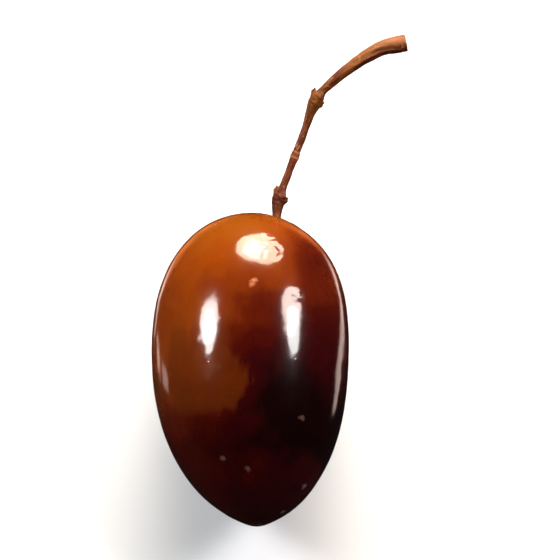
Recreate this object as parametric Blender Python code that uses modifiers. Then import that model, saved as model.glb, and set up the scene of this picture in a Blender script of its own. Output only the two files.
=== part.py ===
"""A cured olive with its stalk, lying on its side. Metres, +Z up.

The fruit's length runs along Y, with the stem end at +Y. The origin is on the small flat spot that it
rests on, straight under the axis of its thickest ring. There are two solids: the fruit, with a plain
hole in the dimple at its stem end, and the stalk, whose root stands in that hole.
"""

import math

import bmesh
import bpy
from mathutils import Vector

MM = 0.001

# The fruit. "Along" is a place on its axis, from -1 at the tip to 1 at the stem end.
FRUIT_LENGTH = 27.1 * MM
FRUIT_WIDTH = 17.2 * MM
FRUIT_DEPTH = 16.8 * MM
EGG = 0.06                    # how much fuller the half towards the stem is
BLUNT = 0.6                   # how much squarer the stem end is than an egg's
BOW = 0.6 * MM                # how far both ends curve to +X
SHOULDER_SLOPE = 0.08         # fall of the stem end towards +X
UNEVEN = 0.007                # soft flats and fullness, as a share of the radius
REST_DEPTH = 0.3 * MM         # how deep the resting spot is pressed in
STEM_OFFSET = 1.7 * MM        # how far the stalk stands from the fruit's axis, towards +X
DIMPLE_RADIUS = 1.35 * MM     # the hollow round the stalk, inside its raised lip
DIMPLE_DEPTH = 0.6 * MM
TIP_RADIUS = 1.6 * MM         # the small point at the blossom end
TIP_HEIGHT = 0.35 * MM
PROFILE_STEPS = 40
TURN_STEPS = 48
END_DENSITY = 0.6             # 0 spreads the profile's points evenly, 1 crowds them at both ends

# The stalk. Its route starts at the dimple's floor, and its points are (+X, +Y, +Z) from there, in mm.
STALK_ROUTE = [
    (0.0, 0.0, 0.0),
    (0.25, 2.2, 0.05),
    (1.1, 4.6, 0.15),
    (2.3, 7.8, 0.35),
    (3.1, 10.05, 0.58),
    (3.8, 11.45, 0.78),
    (5.2, 12.8, 1.02),
    (7.1, 14.25, 1.28),
    (9.2, 15.45, 1.5),
    (11.4, 15.95, 1.6),
]
STALK_STEPS = 64
ROOT_DEPTH = 1.5 * MM         # how far the root stands in the fruit
GAP = 0.3 * MM                # clearance round and under the root
ROOT_RADIUS = 0.44 * MM
THIN_RADIUS = 0.34 * MM       # between the two knots
BUTT_RADIUS = 0.8 * MM        # where it was picked, at the far end
FLARE_FROM = 12.0 * MM        # distance along the stalk where it starts to thicken
# Swellings: (distance along the stalk, extra radius, its length before, its length after)
KNOTS = [
    (2.4 * MM, 0.33 * MM, 0.9 * MM, 0.55 * MM),
    (6.4 * MM, 0.07 * MM, 0.5 * MM, 0.25 * MM),
    (11.9 * MM, 0.36 * MM, 1.2 * MM, 0.45 * MM),
]
# Scars of shed flower stalks: (distance along the stalk, turn about it in degrees, height)
STUBS = [
    (2.8 * MM, 185, 0.8 * MM),
    (2.3 * MM, 5, 0.7 * MM),
    (2.4 * MM, 95, 0.6 * MM),
    (11.9 * MM, 180, 1.0 * MM),
    (11.3 * MM, 355, 0.8 * MM),
]
STUB_RADIUS = 0.38 * MM
STUB_TIP_RADIUS = 0.2 * MM
STUB_LEAN = 0.6               # how far a stub leans along the stalk, as a share of its way out
STUB_PROUD = 0.32             # the share of a stub's height that stands out of the stalk
SHARP_ANGLE = math.radians(50)  # the stalk's edges that turn further than this are crisp

CENTRE_Z = FRUIT_DEPTH / 2 - REST_DEPTH


def clear_scene():
    for obj in list(bpy.data.objects):
        bpy.data.objects.remove(obj, do_unlink=True)


def collection(name):
    made = bpy.data.collections.new(name)
    bpy.context.scene.collection.children.link(made)
    return made


def material(name, colour, roughness):
    made = bpy.data.materials.new(name)
    made.use_nodes = True
    shader = made.node_tree.nodes["Principled BSDF"]
    shader.inputs["Base Color"].default_value = (*colour, 1.0)
    shader.inputs["Roughness"].default_value = roughness
    shader.inputs["Metallic"].default_value = 0.0
    return made


def add_object(name, mesh, home):
    obj = bpy.data.objects.new(name, mesh)
    home.objects.link(obj)
    return obj


def settle_modifiers(obj):
    """Makes the object's mesh what its modifiers show, and removes them."""
    graph = bpy.context.evaluated_depsgraph_get()
    obj.data = bpy.data.meshes.new_from_object(obj.evaluated_get(graph))
    obj.modifiers.clear()


def girth(along):
    """Radius of the plain fruit at a place on its axis, as a share of half its width or nearly."""
    power = 2 + BLUNT * (1 + along) / 2
    return math.sqrt(max(0.0, 1 - abs(along) ** power)) * (1 + EGG * along)


WIDEST_AT = max((i / 1000 for i in range(-999, 1000)), key=girth)


def plain_point(along):
    """(radius, y) of the plain fruit at a place on its axis, with y 0 at the thickest ring."""
    radius = FRUIT_WIDTH / 2 * girth(along) / girth(WIDEST_AT)
    y = FRUIT_LENGTH / 2 * (along - WIDEST_AT)
    if along < 0:
        y -= TIP_HEIGHT * math.exp(-((radius / TIP_RADIUS) ** 2))
    return radius, y


def fruit_profile():
    """(radius, y) points from the middle of the stem end to the tip, closest together at both ends."""
    points = []
    for i in range(PROFILE_STEPS + 1):
        t = i / PROFILE_STEPS
        angle = math.pi * t - END_DENSITY * math.sin(2 * math.pi * t) / 2
        points.append(plain_point(math.cos(angle)))
    return points


def shaped(point):
    """Takes a point of the plain turned fruit to its place on the real one, but for the dimple."""
    along = point.y / (FRUIT_LENGTH / 2) + WIDEST_AT
    about = math.atan2(point.z, point.x)
    waves = math.sin(2 * about + 2.6 * along) + math.sin(3 * about - 1.9 * along + 0.8)
    swell = 1 + UNEVEN * waves * max(0.0, 1 - along**2)
    x = point.x * swell
    return Vector((
        x + BOW * along**2,
        point.y - SHOULDER_SLOPE * x * max(0.0, along) ** 3,
        point.z * swell * FRUIT_DEPTH / FRUIT_WIDTH + CENTRE_Z,
    ))


def stem_place():
    """The point of the plain stem end where the stalk grows out."""
    low, high = WIDEST_AT, 1.0
    for _ in range(40):
        middle = (low + high) / 2
        if plain_point(middle)[0] > STEM_OFFSET:
            low = middle
        else:
            high = middle
    radius, y = plain_point(high)
    return shaped(Vector((radius, y, 0)))


STEM_PLACE = stem_place()
STEM_FOOT = STEM_PLACE - Vector((0, DIMPLE_DEPTH, 0))


def dimpled(point):
    """Presses the dimple in round the stalk, with the raised lip about it."""
    if point.y < 0:
        return point
    across = (point - STEM_PLACE) / DIMPLE_RADIUS
    spread = across.x**2 + across.z**2
    return point - Vector((0, DIMPLE_DEPTH * (1 - spread) * math.exp(-spread), 0))


def turned(name, profile, steps, home):
    """A closed shape turned about Y from a profile of (radius, y) points."""
    mesh = bpy.data.meshes.new(name)
    edges = [(i, i + 1) for i in range(len(profile) - 1)]
    mesh.from_pydata([(radius, y, 0) for radius, y in profile], edges, [])
    obj = add_object(name, mesh, home)
    screw = obj.modifiers.new("turn", "SCREW")
    screw.axis = "Y"
    screw.steps = steps
    screw.render_steps = steps
    screw.use_merge_vertices = True
    screw.merge_threshold = 0.01 * MM
    settle_modifiers(obj)
    return obj


def make_fruit(home):
    fruit = turned("fruit", fruit_profile(), TURN_STEPS, home)
    shape = bmesh.new()
    shape.from_mesh(fruit.data)
    for vertex in shape.verts:
        vertex.co = dimpled(shaped(vertex.co))
    # The surface that it lies on presses the underside flat
    cut = bmesh.ops.bisect_plane(
        shape,
        geom=shape.verts[:] + shape.edges[:] + shape.faces[:],
        plane_co=(0, 0, 0),
        plane_no=(0, 0, 1),
        clear_inner=True,
    )
    rim = [part for part in cut["geom_cut"] if isinstance(part, bmesh.types.BMEdge)]
    bmesh.ops.edgenet_fill(shape, edges=rim)
    bmesh.ops.recalc_face_normals(shape, faces=shape.faces[:])
    shape.to_mesh(fruit.data)
    shape.free()
    fruit.data.shade_smooth()
    fruit.data.materials.append(material("olive_skin", (0.10, 0.022, 0.010), 0.18))
    return fruit


def smooth_route(points, steps):
    """Points on the Catmull-Rom curve through the given ones, the same number to each span or nearly."""
    knots = [Vector(point) * MM for point in points]
    knots = [2 * knots[0] - knots[1], *knots, 2 * knots[-1] - knots[-2]]
    spans = len(points) - 1
    route = []
    for i in range(steps + 1):
        span = min(int(i * spans / steps), spans - 1)
        t = i * spans / steps - span
        a, b, c, d = knots[span:span + 4]
        bend = (2 * a - 5 * b + 4 * c - d) * t**2 + (3 * b - a - 3 * c + d) * t**3
        route.append((2 * b + (c - a) * t + bend) / 2)
    return route


def stalk_stations():
    """(distance, point) along the stalk's middle line. The distance is 0 at the dimple's floor."""
    route = [STEM_FOOT + point for point in smooth_route(STALK_ROUTE, STALK_STEPS)]
    inward = (route[0] - route[1]).normalized()
    stations = [(-depth, route[0] + inward * depth) for depth in (ROOT_DEPTH, ROOT_DEPTH / 2)]
    distance = 0.0
    for before, point in zip([route[0], *route], route):
        distance += (point - before).length
        stations.append((distance, point))
    return stations


STATIONS = stalk_stations()
STALK_LENGTH = STATIONS[-1][0]


def stalk_radius(distance):
    radius = THIN_RADIUS + (ROOT_RADIUS - THIN_RADIUS) * math.exp(-max(0.0, distance) / MM)
    flare = max(0.0, (distance - FLARE_FROM) / (STALK_LENGTH - FLARE_FROM))
    radius += (BUTT_RADIUS - THIN_RADIUS) * flare
    for place, extra, before, after in KNOTS:
        reach = before if distance < place else after
        radius += extra * math.exp(-(((distance - place) / reach) ** 2))
    return radius


def make_stub(distance, turn, height, home):
    """A short worn cone that stands out sideways from the stalk."""
    index = min(range(1, len(STATIONS) - 1), key=lambda i: abs(STATIONS[i][0] - distance))
    along = (STATIONS[index + 1][1] - STATIONS[index - 1][1]).normalized()
    right = along.cross(Vector((0, 0, 1))).normalized()
    up = right.cross(along)
    angle = math.radians(turn)
    out = (right * math.cos(angle) + up * math.sin(angle) + along * STUB_LEAN).normalized()
    mesh = bpy.data.meshes.new("stub")
    shape = bmesh.new()
    bmesh.ops.create_cone(
        shape,
        cap_ends=True,
        segments=8,
        radius1=STUB_RADIUS,
        radius2=STUB_TIP_RADIUS,
        depth=height,
    )
    shape.to_mesh(mesh)
    shape.free()
    stub = add_object("stub", mesh, home)
    stub.rotation_mode = "QUATERNION"
    stub.rotation_quaternion = out.to_track_quat("Z", "Y")
    stub.location = STATIONS[index][1] + out * (stalk_radius(distance) + height * (STUB_PROUD - 0.5))


def stalk_tube(home):
    """The bare stalk: a tube along its route whose radius follows the knots and the thick butt."""
    line = bpy.data.curves.new("stalk_line", "CURVE")
    line.dimensions = "3D"
    line.bevel_depth = 1.0
    line.bevel_resolution = 3
    line.use_fill_caps = True
    spline = line.splines.new("POLY")
    spline.points.add(len(STATIONS) - 1)
    for point, (distance, place) in zip(spline.points, STATIONS):
        point.co = (*place, 1.0)
        point.radius = stalk_radius(distance)
    guide = add_object("stalk_line", line, home)
    graph = bpy.context.evaluated_depsgraph_get()
    mesh = bpy.data.meshes.new_from_object(guide.evaluated_get(graph))
    bpy.data.objects.remove(guide)
    shape = bmesh.new()
    shape.from_mesh(mesh)
    bmesh.ops.remove_doubles(shape, verts=shape.verts[:], dist=0.001 * MM)
    bmesh.ops.recalc_face_normals(shape, faces=shape.faces[:])
    shape.to_mesh(mesh)
    shape.free()
    return add_object("stalk", mesh, home)


def make_stalk(home):
    stalk = stalk_tube(home)
    stubs = collection("stubs")
    for distance, turn, height in STUBS:
        make_stub(distance, turn, height, stubs)
    union = stalk.modifiers.new("grown_together", "BOOLEAN")
    union.operation = "UNION"
    union.solver = "EXACT"
    union.operand_type = "COLLECTION"
    union.collection = stubs
    settle_modifiers(stalk)
    for stub in list(stubs.objects):
        bpy.data.objects.remove(stub)
    bpy.data.collections.remove(stubs)
    stalk.data.shade_smooth()
    stalk.data.set_sharp_from_angle(angle=SHARP_ANGLE)
    stalk.data.materials.clear()
    stalk.data.materials.append(material("olive_stalk", (0.20, 0.065, 0.022), 0.55))


def cut_stalk_hole(fruit, home):
    """The plain hole that the stalk's root stands in, with an even gap round and under it."""
    root = STATIONS[0][1]
    outward = (STEM_FOOT - root).normalized()
    length = GAP + ROOT_DEPTH + 2 * DIMPLE_DEPTH
    mesh = bpy.data.meshes.new("stalk_hole")
    shape = bmesh.new()
    bmesh.ops.create_cone(
        shape,
        cap_ends=True,
        segments=20,
        radius1=ROOT_RADIUS + GAP,
        radius2=ROOT_RADIUS + GAP,
        depth=length,
    )
    shape.to_mesh(mesh)
    shape.free()
    cutter = add_object("stalk_hole", mesh, home)
    cutter.rotation_mode = "QUATERNION"
    cutter.rotation_quaternion = outward.to_track_quat("Z", "Y")
    cutter.location = root + outward * (length / 2 - GAP)
    cutter.hide_render = True
    cutter.display_type = "WIRE"
    hole = fruit.modifiers.new("stalk_hole", "BOOLEAN")
    hole.operation = "DIFFERENCE"
    hole.solver = "EXACT"
    hole.object = cutter


def main():
    clear_scene()
    olive = collection("olive")
    cutters = collection("cutters")
    fruit = make_fruit(olive)
    make_stalk(olive)
    cut_stalk_hole(fruit, cutters)


main()
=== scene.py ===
"""A glossy cured olive with its stalk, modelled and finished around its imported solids."""

import math
import random

import bpy
from bpy.props import FloatProperty, FloatVectorProperty, IntProperty, PointerProperty
from mathutils import Matrix, Vector, noise
from mathutils.kdtree import KDTree


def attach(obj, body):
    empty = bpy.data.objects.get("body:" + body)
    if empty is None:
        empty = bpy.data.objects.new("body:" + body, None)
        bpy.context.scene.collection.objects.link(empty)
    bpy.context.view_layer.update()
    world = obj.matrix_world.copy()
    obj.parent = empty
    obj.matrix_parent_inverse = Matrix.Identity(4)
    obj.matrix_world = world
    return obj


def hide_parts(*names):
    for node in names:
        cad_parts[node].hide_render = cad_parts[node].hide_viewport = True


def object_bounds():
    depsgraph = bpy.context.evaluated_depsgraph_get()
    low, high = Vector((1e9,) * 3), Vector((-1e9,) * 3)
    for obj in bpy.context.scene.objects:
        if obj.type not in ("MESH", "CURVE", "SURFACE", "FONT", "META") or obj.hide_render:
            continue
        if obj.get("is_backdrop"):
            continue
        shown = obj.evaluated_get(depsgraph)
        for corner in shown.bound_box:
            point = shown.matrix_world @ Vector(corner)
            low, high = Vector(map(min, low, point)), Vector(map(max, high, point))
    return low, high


bl_info = {
    "name": "Cured Olive",
    "version": (1, 0, 0),
    "blender": (4, 5, 0),
    "location": "View3D > Sidebar > Olive",
    "description": "Models a glossy cured olive with its stalk around its packed solids",
    "category": "Add Mesh",
}

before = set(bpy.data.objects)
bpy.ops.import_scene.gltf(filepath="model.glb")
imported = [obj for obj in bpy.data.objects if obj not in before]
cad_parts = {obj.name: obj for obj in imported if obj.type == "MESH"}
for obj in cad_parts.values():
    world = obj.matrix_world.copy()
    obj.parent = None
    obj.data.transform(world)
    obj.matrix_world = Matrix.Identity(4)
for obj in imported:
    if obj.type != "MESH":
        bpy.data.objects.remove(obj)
CAD_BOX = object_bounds()

MM = 0.001

# How the fruit's rings are spread: 0 is evenly, 1 crowds them at both ends
END_DENSITY = 0.6
# How many times a drawn piece is subdivided smoothly
SMOOTHING = 2

# Fine creases that run out of the dimple over the shoulder
PUCKER_COUNT = 17
PUCKER_DEPTH = 0.05 * MM
PUCKER_SEED = 11
# How far they run at most, and how far from the stalk they start
PUCKER_REACH = 12 * MM
PUCKER_START = 1.3 * MM

# Small raised breathing spots
SPOT_COUNT = 70
SPOT_RADIUS = 0.34 * MM
SPOT_HEIGHT = 0.022 * MM
SPOT_SEED = 5

# Soft dents and ripples all over the skin: (name, size of a feature, height)
SKIN_UNEVENNESS = [
    ("soft_dents", 6.5 * MM, 0.14 * MM),
    ("ripples", 2.0 * MM, 0.022 * MM),
]

# How large the curls of the creases are, and how wide a crease is, as a share of the curl
CURL_SIZE = 0.8 * MM
CURL_CREASE = 0.15
# Slightly shrivelled places with short curly creases: (place in mm, reach, how deep)
WRINKLES = [
    ((1.7, 8.1, 14.6), 1.4 * MM, 0.035 * MM),
    ((0.2, 4.7, 16.0), 0.8 * MM, 0.03 * MM),
    ((4.1, 3.7, 15.2), 0.65 * MM, 0.04 * MM),
    ((-4.0, -1.6, 15.3), 0.8 * MM, 0.02 * MM),
]

# Narrow rims round the flat spot that the olive rests on
REST_RIMS = [0.15 * MM, 0.3 * MM]

# Places that ripen ahead of the skin round them: (place in mm, reach in mm, full within, how much riper)
RIPE_PLACES = [
    ((4.8, 8.0, 13.0), 4.2, 0.8, 0.2),
    ((6.5, 4.5, 12.0), 6.0, 2.0, 0.14),
    ((0.5, 2.5, 16.2), 4.5, 1.5, 0.05),
    ((2.6, -5.0, 15.5), 5.0, 1.5, 0.1),
]
# Painted glints: pale spots painted on the skin where small glints of light show: (place in mm, radius in
# mm, colour)
PAINTED_GLINT_SPOTS = [
    ((-0.1, -11.1, 13.8), 0.36, (0.09, 0.05, 0.045)),
    ((4.5, -6.8, 14.35), 0.4, (0.09, 0.05, 0.045)),
    ((2.9, -14.3, 9.3), 0.42, (0.09, 0.05, 0.045)),
    ((4.7, -12.2, 10.5), 0.45, (0.09, 0.05, 0.045)),
    ((-2.2, -10.2, 13.85), 0.34, (0.09, 0.05, 0.045)),
    ((0.4, 4.95, 15.95), 0.42, (0.36, 0.13, 0.06)),
    ((0.25, 4.6, 16.0), 0.42, (0.36, 0.13, 0.06)),
]

# Route of the stalk's middle line: (+X, +Y, +Z) from the dimple's floor, in mm
STALK_ROUTE = [
    (0.0, 0.0, 0.0),
    (0.25, 2.2, 0.05),
    (1.1, 4.6, 0.15),
    (2.3, 7.8, 0.35),
    (3.1, 10.05, 0.58),
    (3.8, 11.45, 0.78),
    (5.2, 12.8, 1.02),
    (7.1, 14.25, 1.28),
    (9.2, 15.45, 1.5),
    (11.4, 15.95, 1.6),
]
# How deep the stalk's root goes below the dimple's floor
STALK_ROOT = 0.9 * MM
# The collar that the stalk's foot makes on the dimple's floor
COLLAR_WIDTH = 0.26 * MM
COLLAR_REACH = 0.25 * MM
# How far the bark's ridges turn about the stalk from end to end, and their height as a share of its radius
TWIST = math.radians(200)
RIDGE_SHARE = 0.045
# Wrinkles across the knots: their height, how far along the stalk they reach, and their length for a radian
KNOT_WRINKLE_HEIGHT = 0.014 * MM
KNOT_WRINKLE_REACH = 0.9 * MM
KNOT_WRINKLE_LENGTH = 0.058 * MM
# Uneven bark: (name, size of a feature, height)
BARK_UNEVENNESS = [
    ("bark_lumps", 1.2 * MM, 0.12 * MM),
    ("bark_grain", 0.3 * MM, 0.03 * MM),
]
# Swellings: (distance along the stalk, extra radius, its length before, its length after)
KNOTS = [
    (2.4 * MM, 0.28 * MM, 0.95 * MM, 0.6 * MM),
    (6.4 * MM, 0.09 * MM, 0.45 * MM, 0.2 * MM),
    (11.8 * MM, 0.3 * MM, 1.35 * MM, 0.5 * MM),
]
# Scars of shed flower stalks:
# (distance along the stalk, turn about it in degrees, width, height, how far it leans along the stalk)
SCARS = [
    (2.95 * MM, 185, 0.36 * MM, 0.34 * MM, 0.9),
    (2.3 * MM, 5, 0.36 * MM, 0.26 * MM, 0.4),
    (2.5 * MM, 80, 0.3 * MM, 0.16 * MM, 0.3),
    (2.45 * MM, 265, 0.3 * MM, 0.2 * MM, 0.4),
    (12.05 * MM, 175, 0.34 * MM, 0.46 * MM, 1.5),
    (11.5 * MM, 350, 0.36 * MM, 0.2 * MM, 0.3),
    (11.3 * MM, 75, 0.26 * MM, 0.1 * MM, 0.3),
    (11.6 * MM, 275, 0.3 * MM, 0.16 * MM, 0.5),
]
# Steps of a scar's stub: (share of its height, width as a share of the step before)
SCAR_STEPS = [(0.55, 0.85), (0.45, 0.75)]
# The hollow in a scar's end: its rim as a share of the width, and its depth as a share of the height
SCAR_RIM = 0.2
SCAR_HOLLOW = 0.25
# Steps from the cut end's edge to its pith: (inset as a share of the radius, how far it sinks)
CUT_STEPS = [
    (0.06, -0.03 * MM),
    (0.1, 0.0),
    (0.08, 0.07 * MM),
    (0.42, -0.03 * MM),
    (0.12, 0.08 * MM),
]
# How far before the cut end the ridges stop, and how far before it the cut wood may show
RIDGE_STOP = 0.05 * MM
CUT_MARGIN = 0.12 * MM
# Tints along the bark: (distance along the stalk in mm, reach in mm, share, colour)
BARK_TINTS = [
    (2.0, 2.4, 0.5, (0.04, 0.008, 0.0025)),
    (6.2, 0.16, 0.6, (0.3, 0.12, 0.065)),
    (6.75, 0.12, 0.4, (0.3, 0.12, 0.065)),
    (11.2, 1.8, 0.65, (0.085, 0.027, 0.0015)),
]


# Settings

class OliveFruitSettings(bpy.types.PropertyGroup):
    """The fruit's sizes"""
    length: FloatProperty(
        name="Length", description="From the blossom end to the stem end, before its small point",
        default=27.1 * MM, unit="LENGTH", precision=5)
    width: FloatProperty(
        name="Width", description="Across its thickest ring", default=17.2 * MM, unit="LENGTH", precision=5)
    depth: FloatProperty(
        name="Depth", description="From front to back at its thickest ring, before the rest is pressed in",
        default=16.8 * MM, unit="LENGTH", precision=5)
    egg: FloatProperty(
        name="Egg", description="How much fuller the half towards the stem is", default=0.06)
    blunt: FloatProperty(
        name="Blunt", description="How much squarer the stem end is than an egg's", default=0.6)
    bow: FloatProperty(
        name="Bow", description="How far both ends curve to +X", default=0.6 * MM, unit="LENGTH",
        precision=5)
    slope: FloatProperty(
        name="Shoulder Slope", description="Fall of the stem end towards +X", default=0.08)
    rest_depth: FloatProperty(
        name="Rest Depth", description="How deep the resting spot is pressed in", default=0.3 * MM,
        unit="LENGTH", precision=5)
    stem_offset: FloatProperty(
        name="Stem Offset", description="How far the stalk stands from the fruit's axis", default=1.7 * MM,
        unit="LENGTH", precision=5)
    dimple_radius: FloatProperty(
        name="Dimple Radius", description="The hollow round the stalk, inside its lip", default=1.35 * MM,
        unit="LENGTH", precision=5)
    dimple_depth: FloatProperty(
        name="Dimple Depth", description="How deep the hollow round the stalk is", default=0.6 * MM,
        unit="LENGTH", precision=5)
    tip_radius: FloatProperty(
        name="Tip Radius", description="Width of the small point at the blossom end", default=1.6 * MM,
        unit="LENGTH", precision=5)
    tip_height: FloatProperty(
        name="Tip Height", description="Height of the small point at the blossom end", default=0.35 * MM,
        unit="LENGTH", precision=5)
    unevenness: FloatProperty(
        name="Unevenness", description="Soft flats and fullness, as a share of the radius", default=0.007)
    rings: IntProperty(name="Rings", description="Rings from end to end before smoothing", default=70)
    sides: IntProperty(name="Sides", description="Points in each ring before smoothing", default=64)


class OliveStalkSettings(bpy.types.PropertyGroup):
    """The stalk's sizes"""
    root_radius: FloatProperty(
        name="Root Radius", description="Where it leaves the fruit", default=0.44 * MM, unit="LENGTH",
        precision=5)
    thin_radius: FloatProperty(
        name="Thin Radius", description="Between its two knots", default=0.34 * MM, unit="LENGTH",
        precision=5)
    butt_radius: FloatProperty(
        name="Butt Radius", description="At the end where it was picked", default=0.8 * MM, unit="LENGTH",
        precision=5)
    flare_from: FloatProperty(
        name="Flare From", description="Distance along it where it starts to thicken", default=12.0 * MM,
        unit="LENGTH", precision=5)
    stations: IntProperty(name="Stations", description="Rings along it before smoothing", default=130)
    sides: IntProperty(name="Sides", description="Points in each ring before smoothing", default=18)


class OliveFinishSettings(bpy.types.PropertyGroup):
    """The colours"""
    gold: FloatVectorProperty(
        name="Gold", description="Skin at the stem end", default=(0.117, 0.0262, 0.0008), subtype="COLOR")
    amber: FloatVectorProperty(
        name="Amber", description="Skin below the gold", default=(0.112, 0.019, 0.0005), subtype="COLOR")
    brown: FloatVectorProperty(
        name="Brown", description="Skin above the middle", default=(0.08, 0.011, 0.0008), subtype="COLOR")
    chestnut: FloatVectorProperty(
        name="Chestnut", description="Skin round the middle", default=(0.04, 0.0034, 0.0005),
        subtype="COLOR")
    maroon: FloatVectorProperty(
        name="Maroon", description="Skin below the middle", default=(0.022, 0.0011, 0.0005),
        subtype="COLOR")
    black: FloatVectorProperty(
        name="Black", description="Skin at the blossom end", default=(0.013, 0.0005, 0.0008),
        subtype="COLOR")
    # The darkest skin, low down towards +X: partly its own colour and partly painted shade
    ripest_and_shaded: FloatVectorProperty(
        name="Ripest", description="Skin in the darkest patches", default=(0.003, 0.0003, 0.0004),
        subtype="COLOR")
    unripe: FloatVectorProperty(
        name="Unripe", description="Olive-brown patches round the middle", default=(0.056, 0.0105, 0.0008),
        subtype="COLOR")
    stain: FloatVectorProperty(
        name="Stain", description="The dimple's floor", default=(0.03, 0.009, 0.003), subtype="COLOR")
    tip: FloatVectorProperty(
        name="Tip", description="Skin round the small point", default=(0.045, 0.015, 0.008),
        subtype="COLOR")
    tip_scar: FloatVectorProperty(
        name="Tip Scar", description="The scar on the small point", default=(0.004, 0.002, 0.0015),
        subtype="COLOR")
    bark: FloatVectorProperty(
        name="Bark", description="The stalk's ridges", default=(0.095, 0.019, 0.004), subtype="COLOR")
    bark_groove: FloatVectorProperty(
        name="Bark Groove", description="The stalk's grooves", default=(0.018, 0.003, 0.0009),
        subtype="COLOR")
    bark_golden: FloatVectorProperty(
        name="Golden Bark", description="Golden blotches", default=(0.125, 0.04, 0.003), subtype="COLOR")
    bark_dark: FloatVectorProperty(
        name="Dark Bark", description="Dark blotches", default=(0.045, 0.006, 0.002), subtype="COLOR")
    bark_fleck: FloatVectorProperty(
        name="Bark Fleck", description="Small pale flecks", default=(0.3, 0.12, 0.06), subtype="COLOR")
    # Painted highlight: colour of the bark's upper side before the cut end, where the light from above
    # falls
    gilt_highlight: FloatVectorProperty(
        name="Gilt", description="The bark's upper side before the cut end", default=(0.2, 0.08, 0.02),
        subtype="COLOR")
    # Painted highlight: colour of the bark's upper side at the cut end, where the light from above falls
    salmon_highlight: FloatVectorProperty(
        name="Salmon", description="The bark's upper side at the cut end", default=(0.2, 0.072, 0.035),
        subtype="COLOR")
    wood: FloatVectorProperty(
        name="Cut Wood", description="The stalk's cut end", default=(0.26, 0.12, 0.06), subtype="COLOR")
    wood_grain: FloatVectorProperty(
        name="Wood Grain", description="Darker grain in the cut end", default=(0.2, 0.09, 0.045),
        subtype="COLOR")
    pith: FloatVectorProperty(
        name="Pith", description="The middle of the cut end", default=(0.08, 0.03, 0.016), subtype="COLOR")


class OliveStageSettings(bpy.types.PropertyGroup):
    """The camera, the floor and the lights"""
    elevation: FloatProperty(
        name="Camera Elevation", description="How steeply the camera looks down", default=math.radians(80),
        subtype="ANGLE")
    lens: FloatProperty(name="Lens", description="Focal length in millimetres", default=300.0)
    filled: FloatProperty(
        name="Filled", description="Share of the picture's height that the olive takes up", default=0.93)
    floor_colour: FloatVectorProperty(
        name="Floor", description="The plain floor's colour", default=(0.54, 0.565, 0.6), subtype="COLOR")
    light: FloatProperty(
        name="Light", description="Brightness of the soft boxes' faces", default=30.0)
    room: FloatProperty(
        name="Room", description="Brightness of the dim room around", default=0.012)
    glow: FloatProperty(
        name="Glow", description="Brightness of the glow along the olive's outline", default=3.8)
    pale_tint: FloatVectorProperty(
        name="Pale Glow", description="Tint of the pale surfaces", default=(1.0, 0.74, 0.64),
        subtype="COLOR")
    warm_tint: FloatVectorProperty(
        name="Warm Glow", description="Tint of the warm surfaces", default=(0.85, 0.25, 0.08),
        subtype="COLOR")


def finder_of(places):
    """Finds which of the places is nearest to any point."""
    finder = KDTree(len(places))
    for index, place in enumerate(places):
        finder.insert(place, index)
    finder.balance()
    return finder


# The fruit's form

def girth(fruit, along):
    """Radius of the plain fruit at a place on its axis, from -1 at the tip to 1, or nearly."""
    power = 2 + fruit.blunt * (1 + along) / 2
    return math.sqrt(max(0.0, 1 - abs(along) ** power)) * (1 + fruit.egg * along)


class FruitForm:
    """Where the fruit's surface is, worked out from its settings."""

    def __init__(self, fruit):
        self.fruit = fruit
        self.widest = max((i / 1000 for i in range(-999, 1000)), key=lambda along: girth(fruit, along))
        self.fullest = girth(fruit, self.widest)
        self.centre_z = fruit.depth / 2 - fruit.rest_depth
        self.stem_lean = self.turn_to_stem()
        self.stem = self.outline(self.stem_lean)
        self.foot = self.stem - Vector((0, fruit.dimple_depth, 0))
        self.tip = self.outline(math.pi)

    def plain(self, along):
        """(radius, y) at a place on the axis, with y 0 at the thickest ring."""
        fruit = self.fruit
        radius = fruit.width / 2 * girth(fruit, along) / self.fullest
        y = fruit.length / 2 * (along - self.widest)
        if along < 0:
            y -= fruit.tip_height * math.exp(-((radius / fruit.tip_radius) ** 2))
        return radius, y

    def outline(self, turn):
        """A point of the outline seen from above, at an angle from the stem end, to +X if positive."""
        along = math.cos(turn)
        radius, y = self.plain(along)
        x = math.copysign(radius, math.sin(turn))
        fall = self.fruit.slope * x * max(0.0, along) ** 3
        return Vector((x + self.fruit.bow * along**2, y - fall, self.centre_z))

    def turn_to_stem(self):
        """The angle at which the plain fruit's radius is the stem's offset."""
        low, high = 0.0, math.pi / 3
        for _ in range(40):
            middle = (low + high) / 2
            if self.plain(math.cos(middle))[0] < self.fruit.stem_offset:
                low = middle
            else:
                high = middle
        return high

    def ring(self, turn):
        """(centre, half width, half depth, turn about Z) of the ring at an angle from the stem."""
        lean = self.stem_lean * (1 + math.cos(turn)) / 2
        right = self.outline(lean + turn)
        left = self.outline(lean - turn)
        across = right - left
        side = math.sin(turn)
        along = math.cos(turn) * math.cos(lean)
        out = math.hypot(math.cos(turn) * math.sin(lean), side)
        radius = self.plain(along)[0]
        half_depth = radius * side / out * self.fruit.depth / self.fruit.width
        centre = (left + right) / 2
        spread = (across.length / 2 / self.fruit.dimple_radius) ** 2
        if along > 0:
            centre.y -= self.fruit.dimple_depth * (1 - spread) * math.exp(-spread)
        return centre, across.length / 2, half_depth, math.atan2(across.y, across.x)

    def rings(self):
        """Every ring from the blossom end up, closest together at both ends."""
        count = self.fruit.rings
        for i in range(1, count):
            share = i / count
            yield self.ring(math.pi * (1 - share) + END_DENSITY * math.sin(2 * math.pi * share) / 2)

    def wave(self, point):
        """Height of the soft flats and fullness at a point."""
        fruit = self.fruit
        along = point.y / (fruit.length / 2) + self.widest
        about = math.atan2(point.z - self.centre_z, point.x)
        waves = math.sin(2 * about + 2.6 * along) + math.sin(3 * about - 1.9 * along + 0.8)
        return fruit.unevenness * fruit.width / 2 * waves * max(0.0, 1 - along**2)


# The stalk's form

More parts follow.
